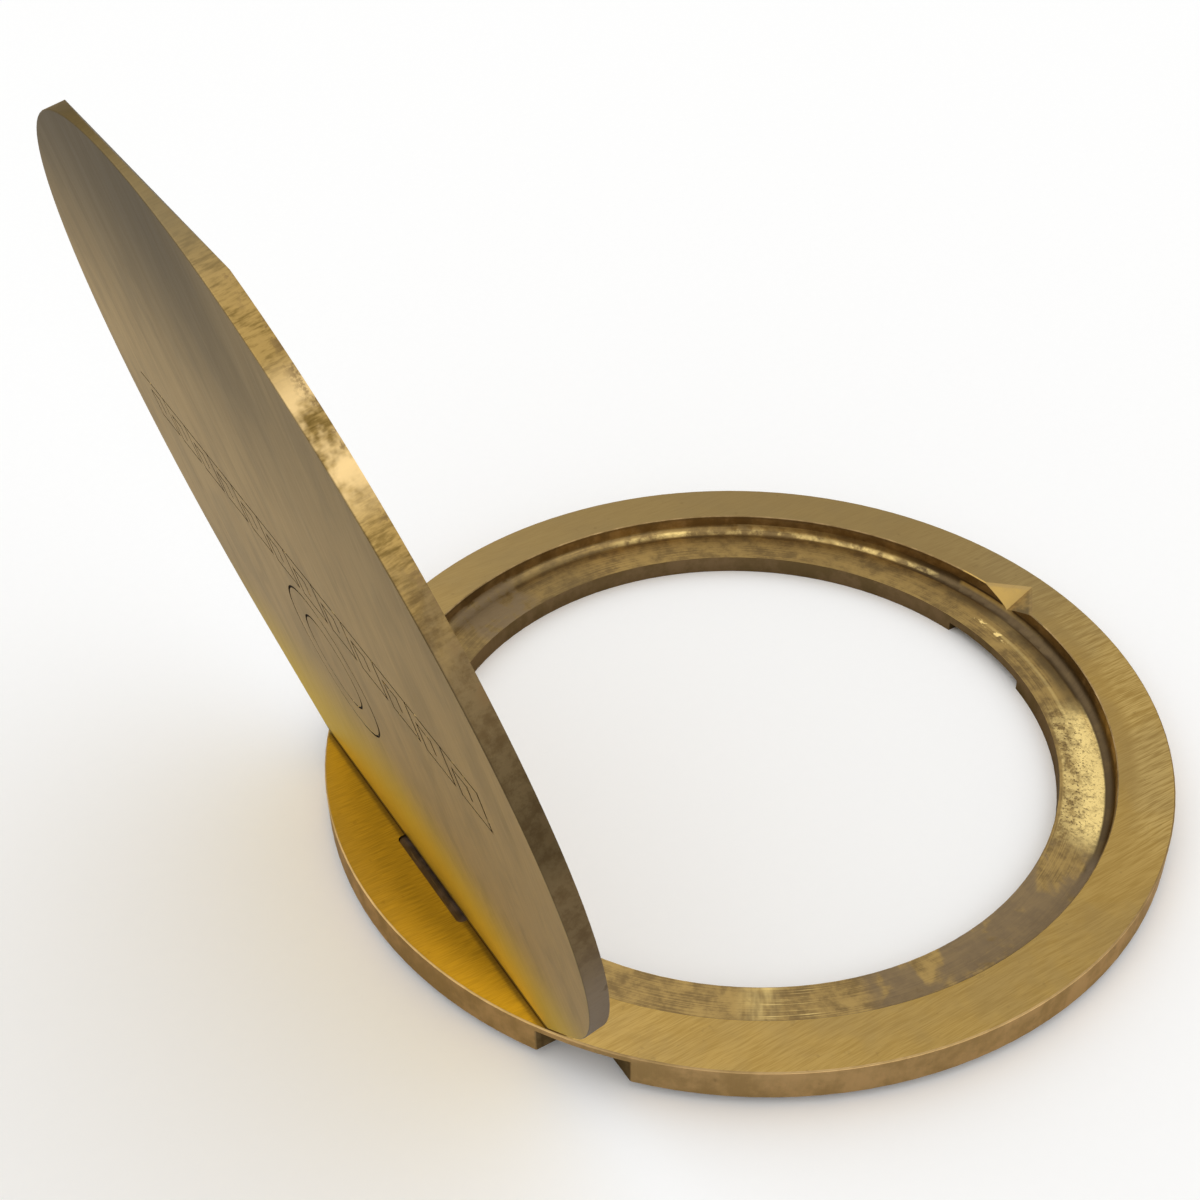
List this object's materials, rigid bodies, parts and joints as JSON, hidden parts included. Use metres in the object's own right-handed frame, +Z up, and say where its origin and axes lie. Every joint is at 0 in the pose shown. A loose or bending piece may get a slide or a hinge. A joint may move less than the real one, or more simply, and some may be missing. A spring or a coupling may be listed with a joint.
{
  "type": "hinged access cover",
  "caption": "Round brass access cover: flat ring frame with a recessed seat and a hinged engraved lid on a concealed pin.",
  "frame": {"origin": "centre of the ring frame in the plane of the flange's underside; the collar round the opening reaches 2.4 mm below this plane", "axes": "+Z up out of the cover, X along the hinge pin, +Y from the ring's centre towards the hinge"},
  "size_m": [0.25, 0.2798, 0.2326],
  "materials": {
    "ring_brass": "linished and lightly tarnished",
    "lid_brass": "fine brushed, engraved",
    "dark_steel": "darkened",
    "pin_steel": "ground"
  },
  "bodies": {
    "frame": {"ring_frame": "ring_brass", "hinge_block": "dark_steel", "block_screws": "dark_steel"},
    "lid": {"lid": "lid_brass", "hinge_pin": "pin_steel", "pin_plug": "lid_brass"}
  },
  "joints": [
    {"name": "lid_hinge", "type": "hinge", "parent": "frame", "child": "lid", "pos_m": [0, 0.10414, 0.0126], "axis": [-1, 0, 0], "range_deg": [-102.5, 0]}
  ]
}
